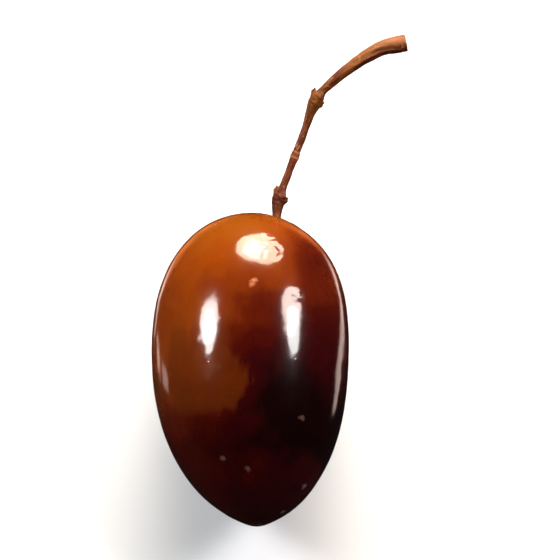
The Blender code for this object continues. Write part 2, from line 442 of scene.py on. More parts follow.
def smooth_route(points, steps):
    """Points on the Catmull-Rom curve through the given ones, which are in mm."""
    marks = [Vector(point) * MM for point in points]
    marks = [2 * marks[0] - marks[1], *marks, 2 * marks[-1] - marks[-2]]
    spans = len(points) - 1
    route = []
    for i in range(steps + 1):
        span = min(int(i * spans / steps), spans - 1)
        t = i * spans / steps - span
        a, b, c, d = marks[span:span + 4]
        bend = (2 * a - 5 * b + 4 * c - d) * t**2 + (3 * b - a - 3 * c + d) * t**3
        route.append((2 * b + (c - a) * t + bend) / 2)
    return route


class StalkForm:
    """Where the stalk runs and how thick it is, worked out from its settings."""

    def __init__(self, stalk, foot):
        self.stalk = stalk
        route = [foot + point for point in smooth_route(STALK_ROUTE, stalk.stations)]
        inward = (route[0] - route[1]).normalized()
        root_shares = (1, 0.66, 0.33)
        self.points = [route[0] + inward * STALK_ROOT * share for share in root_shares]
        self.distances = [-STALK_ROOT * share for share in root_shares]
        distance = 0.0
        for before, point in zip([route[0], *route], route):
            distance += (point - before).length
            self.points.append(point)
            self.distances.append(distance)
        self.length = distance
        self.finder = finder_of(self.points)

    def radius(self, distance):
        """Radius of the bark at a distance along the stalk, with its knots and collar."""
        stalk = self.stalk
        radius = stalk.thin_radius
        radius += (stalk.root_radius - stalk.thin_radius) * math.exp(-max(0.0, distance) / MM)
        flare = max(0.0, (distance - stalk.flare_from) / (self.length - stalk.flare_from))
        radius += (stalk.butt_radius - stalk.thin_radius) * flare
        for place, extra, before, after in KNOTS:
            reach = before if distance < place else after
            radius += extra * math.exp(-(((distance - place) / reach) ** 2))
        return radius + COLLAR_WIDTH * math.exp(-((distance / COLLAR_REACH) ** 2))

    def axes(self, index):
        """(along, to the right seen from above, up) at a ring."""
        last = len(self.points) - 1
        along = (self.points[min(index + 1, last)] - self.points[max(index - 1, 0)]).normalized()
        right = along.cross(Vector((0, 0, 1))).normalized()
        return along, right, right.cross(along)

    def rings(self):
        """(centre, half width, half depth, turn about Z) of every ring from the root up."""
        for index, (point, distance) in enumerate(zip(self.points, self.distances)):
            right = self.axes(index)[1]
            radius = self.radius(distance)
            yield point, radius, radius, math.atan2(right.y, right.x)

    def place_of(self, point):
        """(distance along the stalk, turn about it, distance from its middle line) of a point."""
        index = self.finder.find(point)[1]
        along, right, up = self.axes(index)
        away = point - self.points[index]
        across = Vector((away.dot(right), away.dot(up)))
        return self.distances[index] + away.dot(along), math.atan2(across.y, across.x), across.length


# Modelling by hand

def deselect_everything():
    bpy.ops.object.select_all(action="DESELECT")


def make_active(obj):
    """Makes it the only selected object, and the active one."""
    deselect_everything()
    obj.select_set(True)
    bpy.context.view_layer.objects.active = obj


def apply_modifiers(obj):
    """Applies every modifier for good, in order."""
    make_active(obj)
    for modifier in list(obj.modifiers):
        bpy.ops.object.modifier_apply(modifier=modifier.name)


def draw_along(name, sides, hub, rings):
    """Adds a disc, and extrudes its edge through the rings: (centre, half width, half depth, turn).

    It stays in edit mode, with its far end closed and selected.
    """
    first_centre, first_width = rings[0][:2]
    deselect_everything()
    bpy.ops.mesh.primitive_circle_add(
        vertices=sides, radius=first_width, fill_type="TRIFAN", location=first_centre,
        rotation=(math.pi / 2, 0, 0))
    piece = bpy.context.object
    piece.name = name
    bpy.ops.object.transform_apply(location=True, rotation=True, scale=True)
    middle = min(piece.data.vertices, key=lambda vertex: (vertex.co - first_centre).length)
    middle.co = hub
    bpy.ops.object.mode_set(mode="EDIT")
    bpy.ops.mesh.select_mode(type="EDGE")
    bpy.ops.mesh.select_all(action="SELECT")
    bpy.ops.mesh.region_to_loop()
    last = (first_centre, first_width, first_width, 0.0)
    for index, (centre, width, depth, turn) in enumerate(rings):
        if index:
            bpy.ops.mesh.extrude_edges_move(TRANSFORM_OT_translate={"value": centre - last[0]})
        # With no window, a turn goes the other way
        bpy.ops.transform.rotate(value=last[3], orient_axis="Z", center_override=centre)
        bpy.ops.transform.resize(value=(width / last[1], 1, depth / last[2]), center_override=centre)
        bpy.ops.transform.rotate(value=-turn, orient_axis="Z", center_override=centre)
        last = (centre, width, depth, turn)
    bpy.ops.mesh.edge_face_add()
    bpy.ops.mesh.select_mode(type="FACE")
    return piece


def select_faces(obj, wanted):
    """Selects only the faces that pass the test, and goes into edit mode."""
    make_active(obj)
    bpy.ops.object.mode_set(mode="EDIT")
    bpy.ops.mesh.select_mode(type="FACE")
    bpy.ops.mesh.select_all(action="DESELECT")
    bpy.ops.object.mode_set(mode="OBJECT")
    found = [face for face in obj.data.polygons if wanted(face)]
    if not found:
        raise RuntimeError(f"{obj.name} has no such faces")
    for face in found:
        face.select = True
    bpy.ops.object.mode_set(mode="EDIT")


def smooth_over(obj):
    """Subdivides the piece smoothly, for good."""
    modifier = obj.modifiers.new("smooth", "SUBSURF")
    modifier.levels = SMOOTHING
    modifier.render_levels = SMOOTHING
    apply_modifiers(obj)


def points_of(obj):
    """The places of all of a piece's points."""
    return [vertex.co for vertex in obj.data.vertices]


def mould(obj, name, heights):
    """Moves each point out by its height, or in where that is negative, as with painted weights."""
    for sign in (1, -1):
        most = max(sign * height for height in heights)
        if most <= 0:
            continue
        group = obj.vertex_groups.new(name=name)
        for index, height in enumerate(heights):
            if sign * height > 0:
                group.add([index], sign * height / most, "REPLACE")
        push = obj.modifiers.new(name, "DISPLACE")
        push.vertex_group = group.name
        push.strength = sign * most
        push.mid_level = 0.0
        apply_modifiers(obj)
        obj.vertex_groups.clear()


def roughen(obj, name, feature, height):
    """Raises and lowers the surface by a soft noise with features of that size."""
    texture = bpy.data.textures.new(name, "CLOUDS")
    texture.noise_basis = "IMPROVED_PERLIN"
    texture.noise_scale = feature
    texture.noise_depth = 2
    push = obj.modifiers.new(name, "DISPLACE")
    push.texture = texture
    push.texture_coords = "LOCAL"
    push.strength = height
    push.mid_level = 0.5
    apply_modifiers(obj)


def finish_piece(obj, material, node):
    """Turns the faces outwards, puts the object at the origin, dresses it and ties it to the frame."""
    make_active(obj)
    bpy.ops.object.mode_set(mode="EDIT")
    bpy.ops.mesh.select_all(action="SELECT")
    bpy.ops.mesh.normals_make_consistent(inside=False)
    bpy.ops.object.mode_set(mode="OBJECT")
    bpy.ops.object.transform_apply(location=True, rotation=True, scale=True)
    bpy.ops.object.shade_smooth()
    obj.data.materials.clear()
    obj.data.materials.append(material)
    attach(obj, "root")
    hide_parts(node)


# The fruit

def pucker_heights(form, points):
    """Height at each point of the fine creases that run out of the dimple over the shoulder."""
    draw = random.Random(PUCKER_SEED)
    creases = []
    for i in range(PUCKER_COUNT):
        angle = 2 * math.pi * (i + draw.uniform(-0.35, 0.35)) / PUCKER_COUNT
        width, length = draw.uniform(0.16, 0.3) * MM, draw.uniform(3.0, 8.5) * MM
        creases.append((angle, width, length, draw.uniform(0.4, 1.0)))
    heights = []
    for point in points:
        away = point - form.stem
        reach = away.length
        total = 0.0
        if point.y > 0 and reach < PUCKER_REACH:
            angle = math.atan2(away.z, away.x)
            for crease_angle, width, length, deep in creases:
                sway = 0.16 * math.sin(reach / (1.1 * MM) + 5 * crease_angle)
                off = math.remainder(angle - crease_angle, 2 * math.pi) + sway * min(1.0, reach / length)
                aside = off * reach / width
                start = 1 - math.exp(-((reach / PUCKER_START) ** 2))
                end = math.exp(-((reach / length) ** 3))
                total -= PUCKER_DEPTH * deep * start * end * math.exp(-(aside**2))
        heights.append(total)
    return heights


def wrinkle_heights(points):
    """Height at each point of the short curly creases in the shrivelled places."""
    heights = []
    for point in points:
        total = 0.0
        for place, reach, deep in WRINKLES:
            away = (point - Vector(place) * MM).length
            if away < 2 * reach:
                curl = noise.noise(point / CURL_SIZE)
                total -= deep * math.exp(-((away / reach) ** 4)) * math.exp(-((curl / CURL_CREASE) ** 2))
        heights.append(total)
    return heights


def spot_heights(form, points):
    """Height at each point of the small raised breathing spots.

    Smoothing leaves the points in another order each time, so no place is chosen by a point's number.
    """
    draw = random.Random(SPOT_SEED)
    skin = finder_of(points)
    places = []
    sizes = []
    for _ in range(SPOT_COUNT):
        centre, half_width, half_depth = form.ring(math.acos(draw.uniform(-0.98, 0.98)))[:3]
        about = draw.uniform(0, 2 * math.pi)
        place = centre + Vector((half_width * math.cos(about), 0, half_depth * math.sin(about)))
        places.append(skin.find(place)[0])
        sizes.append((draw.uniform(0.7, 1.3) * SPOT_RADIUS, draw.uniform(0.5, 1.2) * SPOT_HEIGHT))
    spots = finder_of(places)
    heights = []
    for point in points:
        index, away = spots.find(point)[1:]
        radius, height = sizes[index]
        heights.append(height * math.exp(-((away / radius) ** 2)) if away < 3 * radius else 0.0)
    return heights


def press_rest(skin):
    """Presses the underside flat where the olive lies, with narrow rims so that it shades evenly."""
    make_active(skin)
    bpy.ops.object.mode_set(mode="EDIT")
    bpy.ops.mesh.select_all(action="SELECT")
    bpy.ops.mesh.bisect(
        plane_co=(0, 0, 0), plane_no=(0, 0, 1), use_fill=True, clear_inner=True, threshold=0.001 * MM)
    bpy.ops.object.mode_set(mode="OBJECT")
    corners = max(len(face.vertices) for face in skin.data.polygons)
    select_faces(skin, lambda face: len(face.vertices) == corners)
    for rim in REST_RIMS:
        bpy.ops.mesh.inset(thickness=rim)
    bpy.ops.object.mode_set(mode="OBJECT")


class OLIVE_OT_fruit(bpy.types.Operator):
    """Models the fruit and finishes its skin"""
    bl_idname = "olive.fruit"
    bl_label = "Fruit"

    def execute(self, context):
        settings = context.scene.olive_fruit
        form = FruitForm(settings)
        skin = draw_along("olive_fruit", settings.sides, form.tip, list(form.rings()))
        bpy.ops.mesh.poke()
        bpy.ops.object.mode_set(mode="OBJECT")
        smooth_over(skin)
        mould(skin, "waves", [form.wave(point) for point in points_of(skin)])
        for name, feature, height in SKIN_UNEVENNESS:
            roughen(skin, name, feature, height)
        mould(skin, "puckers", pucker_heights(form, points_of(skin)))
        mould(skin, "wrinkles", wrinkle_heights(points_of(skin)))
        mould(skin, "spots", spot_heights(form, points_of(skin)))
        press_rest(skin)
        finish_piece(skin, skin_finish(context.scene.olive_finish, form), "fruit")
        return {"FINISHED"}


# The stalk

def cut_end(form):
    """Gives the closed far end a bark rim, a slightly sunk face of wood and a small pith."""
    along = form.axes(len(form.points) - 1)[0]
    radius = form.radius(form.length)
    for share, sink in CUT_STEPS:
        bpy.ops.mesh.inset(thickness=share * radius)
        bpy.ops.transform.translate(value=along * -sink)
    bpy.ops.mesh.poke()


def grow_scar(tube, form, scar):
    """Draws a worn stub out of the bark, with a hollow in its end."""
    distance, turn, width, height, lean = scar
    index = min(range(len(form.points)), key=lambda i: abs(form.distances[i] - distance))
    along, right, up = form.axes(index)
    angle = math.radians(turn)
    sideways = right * math.cos(angle) + up * math.sin(angle)
    spot = form.points[index] + sideways * form.radius(distance)
    select_faces(tube, lambda face: (face.center - spot).length < width and face.normal.dot(sideways) > 0.2)
    out = (sideways + along * lean).normalized()
    for share, size in SCAR_STEPS:
        bpy.ops.mesh.extrude_region_move(TRANSFORM_OT_translate={"value": out * height * share})
        bpy.ops.transform.resize(value=(size, size, size))
    bpy.ops.mesh.inset(thickness=width * SCAR_RIM)
    bpy.ops.transform.translate(value=out * height * -SCAR_HOLLOW)
    bpy.ops.object.mode_set(mode="OBJECT")


def ridge_heights(form, points):
    """Height at each point of the dried bark's spiral ridges, and of the wrinkles across its knots."""
    heights = []
    for point in points:
        distance, turn = form.place_of(point)[:2]
        spiral = turn + TWIST * distance / form.length
        sway = 0.7 * math.sin(distance / (1.3 * MM))
        ridge = 0.55 * math.cos(5 * spiral + sway) + 0.3 * math.cos(8 * spiral - 1.6 * sway + 1.0)
        ridge += 0.35 * math.cos(3 * spiral + 2.0)
        width = RIDGE_SHARE * form.radius(distance)
        on_bark = 1.0 if distance < form.length - RIDGE_STOP else 0.0
        wrinkles = 0.0
        for place, *_ in KNOTS:
            near = math.exp(-(((distance - place) / KNOT_WRINKLE_REACH) ** 2))
            curl = 1.5 * math.sin(turn) + math.sin(2 * turn)
            wrinkles += near * math.sin(distance / KNOT_WRINKLE_LENGTH + curl)
        heights.append(on_bark * (width * ridge + KNOT_WRINKLE_HEIGHT * wrinkles))
    return heights


def note_bark_places(tube, form):
    """Notes each point's place on the bark: two coordinates across the stalk, and its distance in mm."""
    layer = tube.data.attributes.new("bark_place", "FLOAT_VECTOR", "POINT")
    for vertex in tube.data.vertices:
        distance, turn, away = form.place_of(vertex.co)
        spiral = turn + TWIST * distance / form.length
        inside = min(1.0, away / form.radius(distance)) if distance > form.length - CUT_MARGIN else 1.0
        layer.data[vertex.index].vector = (
            inside * math.cos(spiral), inside * math.sin(spiral), distance / MM)


class OLIVE_OT_stalk(bpy.types.Operator):
    """Models the stalk and finishes its bark"""
    bl_idname = "olive.stalk"
    bl_label = "Stalk"

    def execute(self, context):
        settings = context.scene.olive_stalk
        form = StalkForm(settings, FruitForm(context.scene.olive_fruit).foot)
        tube = draw_along("olive_stalk", settings.sides, form.points[0], list(form.rings()))
        cut_end(form)
        bpy.ops.mesh.select_all(action="SELECT")
        bpy.ops.mesh.normals_make_consistent(inside=False)
        bpy.ops.object.mode_set(mode="OBJECT")
        for scar in SCARS:
            grow_scar(tube, form, scar)
        smooth_over(tube)
        mould(tube, "ridges", ridge_heights(form, points_of(tube)))
        for name, feature, height in BARK_UNEVENNESS:
            roughen(tube, name, feature, height)
        note_bark_places(tube, form)
        finish_piece(tube, bark_finish(context.scene.olive_finish), "stalk")
        return {"FINISHED"}


# Finishes

def add(tree, kind, inputs=None, **settings):
    """Adds a node, sets it up, and sets its inputs or wires sockets to them."""
    made = tree.nodes.new("ShaderNode" + kind)
    for name, value in settings.items():
        setattr(made, name, value)
    for key, value in (inputs or {}).items():
        if isinstance(value, bpy.types.NodeSocket):
            tree.links.new(value, made.inputs[key])
        else:
            made.inputs[key].default_value = value
    return made


def calculate(tree, operation, *values):
    """One step of arithmetic on numbers and sockets."""
    inputs = dict(enumerate(values))
    return add(tree, "Math", inputs, operation=operation).outputs[0]


def sum_of(tree, *values):
    """Adds up numbers and sockets."""
    total = values[0]
    for value in values[1:]:
        total = calculate(tree, "ADD", total, value)
    return total


def product(tree, first, second):
    return calculate(tree, "MULTIPLY", first, second)


def between(tree, value, low, high, to_low=0.0, to_high=1.0, kind="SMOOTHSTEP"):
    """Goes from to_low to to_high as the value goes from low to high."""
    inputs = {"Value": value, "From Min": low, "From Max": high, "To Min": to_low, "To Max": to_high}
    return add(tree, "MapRange", inputs, interpolation_type=kind).outputs["Result"]


def straight(tree, value, low, high, to_low=0.0, to_high=1.0):
    """Like between, but in a straight line."""
    return between(tree, value, low, high, to_low, to_high, "LINEAR")


def blend(tree, share, first, second, blend_type="MIX"):
    """Mixes two colours, or lays the second on the first."""
    first = first if isinstance(first, bpy.types.NodeSocket) else (*first, 1.0)
    second = second if isinstance(second, bpy.types.NodeSocket) else (*second, 1.0)
    mix = add(tree, "Mix", {0: share, 6: first, 7: second}, data_type="RGBA", blend_type=blend_type)
    return mix.outputs[2]


def soft_noise(tree, place, scale, detail=3.0, roughness=0.5, distortion=0.0):
    """Soft noise from 0 to 1, with that many features for a unit of place."""
    inputs = {"Vector": place, "Scale": scale, "Detail": detail, "Roughness": roughness,
              "Distortion": distortion}
    return add(tree, "TexNoise", inputs).outputs["Fac"]


def stretched(tree, place, scale):
    """The place with each of its three axes scaled."""
    return add(tree, "Mapping", {"Vector": place, "Scale": scale}).outputs["Vector"]


def distance_from(tree, place, point):
    """Distance of each place from a point, both in mm."""
    apart = add(tree, "VectorMath", {0: place, 1: point}, operation="DISTANCE")
    return apart.outputs["Value"]


def facing(tree, vector, direction):
    """How much a vector points in a direction: 1 is the same way, and -1 the opposite way."""
    dot = add(tree, "VectorMath", {0: vector, 1: direction}, operation="DOT_PRODUCT")
    return dot.outputs["Value"]


def relief_normal(tree, height, distance):
    """Normals of a surface that stands out by that distance where the height is 1."""
    bump = add(tree, "Bump", {"Height": height, "Strength": 1.0, "Distance": distance})
    return bump.outputs["Normal"]


def set_up(shader, **values):
    """Sets constants on the shader's inputs, named with _ for each space."""
    for name, value in values.items():
        shader.inputs[name.replace("_", " ")].default_value = value


def new_finish(name):
    """(material, its nodes, its shader, the place on the piece in mm)"""
    material = bpy.data.materials.new(name)
    material.use_nodes = True
    tree = material.node_tree
    shader = tree.nodes["Principled BSDF"]
    coordinates = add(tree, "TexCoord").outputs["Object"]
    place = stretched(tree, coordinates, (1 / MM, 1 / MM, 1 / MM))
    return material, tree, shader, place


def ramp(tree, value, stops):
    """A colour for each value, mixed between (value, colour) stops."""
    made = add(tree, "ValToRGB", {"Fac": value})
    made.color_ramp.interpolation = "EASE"
    elements = made.color_ramp.elements
    while len(elements) < len(stops):
        elements.new(1.0)
    for element, (position, colour) in zip(elements, stops):
        element.position = position
        element.color = (*colour, 1.0)
    return made.outputs["Color"]


def ripe_and_shaded_colour(tree, place, colours):
    """Skin colour by how ripe it is, which is 0 at the stem end, 1 at the blossom end, and more to +X; the
    darker lower half and +X side are partly the skin's own colour and partly painted shade.
    """
    split = add(tree, "SeparateXYZ", {"Vector": place}).outputs
    x, y = split["X"], split["Y"]
    large = soft_noise(tree, place, 0.17, 2.0, 0.5, 0.4)
    patches = soft_noise(tree, stretched(tree, place, (1, 0.7, 1)), 0.36, 4.0, 0.5, 0.6)
    streaks = soft_noise(tree, stretched(tree, place, (1.5, 0.22, 1.5)), 1.0, 4.0, 0.6, 0.2)
    waver = soft_noise(tree, place, 0.3, 1.5, 0.4)
    waver = straight(tree, waver, 0.3, 0.7, -1.6, 1.6)
    # Partly painted shade: round the middle the skin turns darker towards +X and lighter towards -X
    side = between(tree, sum_of(tree, x, waver), -6.5, 4.0, -1.0, 1.0)
    low = sum_of(tree, y, waver)
    middle = product(tree, between(tree, y, 5.5, -1.5), between(tree, low, -14.0, -6.5))
    # Darker towards the blossom end: partly the skin's own colour, partly painted shade
    ripeness_and_shade = sum_of(
        tree,
        straight(tree, y, 12.0, -9.5, 0.0, 0.86),
        between(tree, low, -8.0, -12.5, 0.0, -0.12),
        product(tree, side, straight(tree, middle, 0.0, 1.0, 0.05, 0.27)),
        straight(tree, large, 0.3, 0.7, -0.05, 0.05),
        *(between(tree, distance_from(tree, place, spot), reach, full, 0.0, riper)
          for spot, reach, full, riper in RIPE_PLACES),
        between(tree, patches, 0.42, 0.58, -0.018, 0.018),
        straight(tree, streaks, 0.3, 0.7, -0.018, 0.018))
    colour = ramp(tree, ripeness_and_shade, [
        (0.02, colours.gold),
        (0.18, colours.amber),
        (0.33, colours.brown),
        (0.48, colours.chestnut),
        (0.64, colours.maroon),
        (0.82, colours.black),
        (1.0, colours.ripest_and_shaded),
    ])

    # Olive-brown patches round the middle that are still unripe, with one large one to -X
    unripe = soft_noise(tree, stretched(tree, place, (1, 0.6, 1)), 0.27, 3.0, 0.5, 0.5)
    unripe = sum_of(
        tree, unripe,
        between(tree, distance_from(tree, place, (-3.4, -3.8, 15.0)), 4.0, 2.4, 0.0, 0.14),
        straight(tree, x, -2.0, 2.0, 0.0, -0.1))
    unripe = product(tree, between(tree, unripe, 0.49, 0.62), between(tree, y, -6.9, -5.9))
    unripe = product(tree, unripe, between(tree, y, 4.0, 0.0))
    return blend(tree, product(tree, unripe, 0.6), colour, colours.unripe)


def spotted(tree, place, colour):
    """(the colour with its pale breathing spots and its painted glints, the share of the small breathing
    spots at each place)
    """
    cells = add(tree, "TexVoronoi", {"Vector": place, "Scale": 0.95})
    near = between(tree, cells.outputs["Distance"], 0.04, 0.13, 1.0, 0.0)
    chosen = add(tree, "SeparateColor", {"Color": cells.outputs["Color"]}).outputs["Red"]
    spots = product(tree, near, between(tree, chosen, 0.5, 0.6))
    paler = blend(tree, 1.0, colour, (1.5, 1.4, 1.3), "MULTIPLY")
    paler = blend(tree, 1.0, paler, (0.012, 0.003, 0.001), "ADD")
    colour = blend(tree, product(tree, spots, 0.6), colour, paler)
    ragged_spot = straight(tree, soft_noise(tree, place, 2.6, 2.0), 0.3, 0.7, -0.12, 0.12)
    # Painted glints: pale spots painted where small glints of light show
    for spot, radius, shade in PAINTED_GLINT_SPOTS:
        off = sum_of(tree, distance_from(tree, place, spot), ragged_spot)
        colour = blend(tree, between(tree, off, radius, 0.0, 0.0, 0.7), colour, shade)
    return colour, spots


def skin_finish(colours, form):
    """Thin glossy skin, gold at the stem and ripening through brown and maroon to black, its dark lower
    half partly painted shade, and with painted glints.
    """
    material, tree, shader, place = new_finish("olive_skin")
    colour, spots = spotted(tree, place, ripe_and_shaded_colour(tree, place, colours))

    # Golden lip and brown floor of the dimple
    from_stem = distance_from(tree, place, tuple(form.stem / MM))
    frayed = straight(tree, soft_noise(tree, place, 1.6, 3.0), 0.3, 0.7, -0.25, 0.25)
    ragged = sum_of(tree, from_stem, frayed)
    colour = blend(tree, between(tree, ragged, 3.2, 1.7, 0.0, 0.6), colour, colours.gold)
    colour = blend(tree, between(tree, ragged, 1.25, 0.8, 0.0, 0.92), colour, colours.stain)

    # Dark scar on the small point at the blossom end
    from_tip = distance_from(tree, place, tuple(form.tip / MM))
    ragged_tip = sum_of(tree, from_tip, frayed)
    colour = blend(tree, between(tree, ragged_tip, 1.3, 0.5, 0.0, 0.6), colour, colours.tip)
    colour = blend(tree, between(tree, ragged_tip, 0.4, 0.26), colour, colours.tip_scar)
    tree.links.new(colour, shader.inputs["Base Color"])

    # The film of brine: glossy, and a little duller in the dimple and where it has drained
    drained = soft_noise(tree, place, 0.5, 3.0)
    roughness = sum_of(
        tree,
        straight(tree, drained, 0.35, 0.7, 0.25, 0.38),
        between(tree, from_stem, 1.6, 0.9, 0.0, 0.3),
        between(tree, from_tip, 0.5, 0.3, 0.0, 0.3))
    tree.links.new(roughness, shader.inputs["Roughness"])

    # Relief: pores, breathing spots and fine lengthwise grain under the film
    pores = add(tree, "TexVoronoi", {"Vector": place, "Scale": 5.5}).outputs["Distance"]
    pores = between(tree, pores, 0.0, 0.35)
    fine = soft_noise(tree, stretched(tree, place, (3.0, 1.1, 3.0)), 1.0, 3.0)
    relief = sum_of(tree, product(tree, pores, 0.25), product(tree, fine, 1.2), product(tree, spots, 1.4))
    tree.links.new(relief_normal(tree, relief, 0.008 * MM), shader.inputs["Normal"])
    film = sum_of(tree, soft_noise(tree, place, 0.9, 1.0), product(tree, spots, 0.5))
    tree.links.new(relief_normal(tree, film, 0.01 * MM), shader.inputs["Coat Normal"])
    set_up(shader, Subsurface_Weight=0.15, Subsurface_Radius=(1.0, 0.3, 0.1), Subsurface_Scale=1.2 * MM,
           IOR=1.4, Specular_IOR_Level=0.02, Coat_Weight=1.0, Coat_Roughness=0.1, Coat_IOR=1.4)
    return material


def bark_finish(colours):
    """Dried reddish-brown bark with fine lengthwise grain, pale at the joint, and a pale cut end."""
    material, tree, shader, place = new_finish("olive_bark")
    bark = add(tree, "Attribute", attribute_name="bark_place").outputs["Vector"]
    split = add(tree, "SeparateXYZ", {"Vector": bark}).outputs
    distance = split["Z"]
    fibres = soft_noise(tree, stretched(tree, bark, (3.2, 3.2, 0.55)), 1.0, 5.0, 0.62, 0.3)
    blotches = soft_noise(tree, stretched(tree, bark, (0.7, 0.7, 0.5)), 1.0, 3.0, 0.5, 0.4)
    colour = blend(tree, between(tree, fibres, 0.38, 0.6), colours.bark_groove, colours.bark)
    colour = blend(tree, between(tree, blotches, 0.5, 0.62, 0.0, 0.6), colour, colours.bark_golden)
    colour = blend(tree, between(tree, blotches, 0.48, 0.38, 0.0, 0.5), colour, colours.bark_dark)
    flecks = soft_noise(tree, stretched(tree, bark, (1.3, 1.3, 1.6)), 1.0, 2.0, 0.5, 0.6)
    colour = blend(tree, between(tree, flecks, 0.62, 0.68, 0.0, 0.45), colour, colours.bark_fleck)

    # Darker at the near knot, pale round the joint half way, and greener at the far knot
    for knot, reach, share, tint in BARK_TINTS:
        off = calculate(tree, "ABSOLUTE", calculate(tree, "SUBTRACT", distance, knot))
        colour = blend(tree, between(tree, off, reach, 0.0, 0.0, share), colour, tint)
    # Painted highlight: golden, and at last pinkish orange, on the bark's upper side towards the cut end,
    # where the light from above and behind falls, with painted shade left dark along its lower side
    normal = add(tree, "NewGeometry").outputs["Normal"]
    lit_upper_side = between(tree, facing(tree, normal, (-0.45, 0.85, 0.3)), -0.35, 0.3)
    gilt_highlight = product(tree, between(tree, distance, 14.0, 16.5), lit_upper_side)
    colour = blend(tree, product(tree, gilt_highlight, 0.5), colour, colours.gilt_highlight)
    butt = product(tree, between(tree, distance, 16.0, 20.0), between(tree, fibres, 0.4, 0.62, 0.15, 0.8))
    colour = blend(tree, product(tree, butt, lit_upper_side), colour, colours.salmon_highlight)

    # The cut end: pale wood with a dark pith
    inside = calculate(tree, "MULTIPLY_ADD", split["Y"], split["Y"],
                       calculate(tree, "MULTIPLY", split["X"], split["X"]))
    inside = calculate(tree, "SQRT", inside)
    wood_grain = soft_noise(tree, place, 9.0, 3.0)
    wood = blend(tree, between(tree, wood_grain, 0.4, 0.65), colours.wood, colours.wood_grain)
    wood = blend(tree, between(tree, inside, 0.3, 0.2), wood, colours.pith)
    cut = between(tree, inside, 0.92, 0.8)
    colour = blend(tree, cut, colour, wood)
    tree.links.new(colour, shader.inputs["Base Color"])
    roughness = sum_of(tree, straight(tree, fibres, 0.3, 0.7, 0.6, 0.4), product(tree, cut, 0.25))
    tree.links.new(roughness, shader.inputs["Roughness"])

    ridges = soft_noise(tree, stretched(tree, bark, (5.0, 5.0, 0.8)), 1.0, 4.0, 0.6)
    specks = add(tree, "TexVoronoi", {"Vector": place, "Scale": 7.0}).outputs["Distance"]
    relief = sum_of(tree, ridges, product(tree, fibres, 0.8), product(tree, specks, 0.3))
    tree.links.new(relief_normal(tree, relief, 0.06 * MM), shader.inputs["Normal"])
    set_up(shader, Specular_IOR_Level=0.08, Coat_Weight=0.04, Coat_Roughness=0.3)
    return material


# The stage

# Soft boxes: (name, direction to its lower end, direction to its upper end, width, tint)
SOFT_BOXES = [
    ("back_box", (0.1, 0.73, 0.68), (0.085, 0.998, 0.02), 0.46, (0.85, 0.72, 0.56)),
    ("back_core", (0.03, 0.8, 0.6), (0.03, 0.97, 0.24), 0.24, (0.4, 0.42, 0.46)),
    ("left_box", (-0.71, 0.18, 0.68), (-0.68, 0.44, 0.58), 0.24, (1.0, 0.95, 0.91)),
    ("left_strip", (-0.72, 0.07, 0.69), (-0.69, 0.33, 0.64), 0.16, (1.0, 1.0, 0.98)),
    ("right_box", (0.73, 0.19, 0.65), (0.61, 0.47, 0.63), 0.24, (1.0, 0.86, 0.79)),
    ("right_strip", (0.76, 0.055, 0.64), (0.67, 0.34, 0.65), 0.16, (1.0, 1.0, 0.98)),
]
BOX_DISTANCE = 0.6
# Pale surfaces low behind the olive, seen only along its outline: (direction, reach in degrees, share)
GLINTS = [
    ((0.5, 0.42, -0.75), 6, 0.3),
    ((0.54, 0.375, -0.75), 6, 0.35),
    ((0.57, 0.33, -0.75), 6, 0.4),
    ((0.6, 0.27, -0.75), 6, 0.5),
    ((0.65, 0.21, -0.73), 5.5, 0.6),
    ((0.72, 0.17, -0.67), 4.5, 0.7),
    ((0.77, 0.13, -0.62), 4.5, 0.8),
    ((0.81, 0.08, -0.58), 5, 0.9),
    ((0.83, 0.03, -0.56), 6, 1.0),
    ((-0.45, 0.34, -0.83), 6, 0.4),
    ((-0.47, 0.25, -0.85), 6, 0.4),
    ((-0.67, 0.14, -0.73), 3.5, 0.5),
    ((-0.72, 0.12, -0.69), 3.5, 0.5),
    ((-0.83, 0.06, -0.55), 4, 0.6),
    ((-0.88, 0.03, -0.47), 4, 0.8),
]
# Warm surfaces there, that lend the stem end a soft orange outline
WARM_GLINTS = [
    ((-0.44, 0.42, -0.79), 11, 0.25),
    ((-0.34, 0.53, -0.78), 11, 0.25),
    ((-0.22, 0.6, -0.77), 11, 0.15),
    ((0.24, 0.6, -0.76), 11, 0.15),
    ((0.36, 0.52, -0.77), 11, 0.25),
    ((-0.5, 0.5, -0.7), 9, 0.15),
    ((-0.4, 0.62, -0.67), 9, 0.15),
    ((-0.28, 0.7, -0.66), 9, 0.1),
    ((0.3, 0.7, -0.65), 9, 0.12),
    ((0.42, 0.62, -0.66), 9, 0.15),
]
# Share of a glint's reach within which it is at its full share
GLINT_CORE = 0.4
FLOOR_SIZE = 4.0
# How far the floor lies under the flat spot, so that they don't touch
FLOOR_GAP = 0.02 * MM


def camera_axes(elevation):
    """(right, up, towards the camera) of a camera that looks along +Y and down."""
    back = Vector((0, -math.cos(elevation), math.sin(elevation)))
    up = Vector((0, math.sin(elevation), math.cos(elevation)))
    return Vector((1, 0, 0)), up, back


def set_camera(stage, middle, height):
    """A camera that looks at the middle, from where that height fills its share of the picture."""
    back = camera_axes(stage.elevation)[2]
    data = bpy.data.cameras.new("camera")
    data.lens = stage.lens
    distance = height / stage.filled * stage.lens / data.sensor_width
    camera = bpy.data.objects.new("camera", data)
    bpy.context.scene.collection.objects.link(camera)
    camera.location = middle + back * distance
    camera.rotation_euler = back.to_track_quat("Z", "Y").to_euler()
    bpy.context.scene.camera = camera


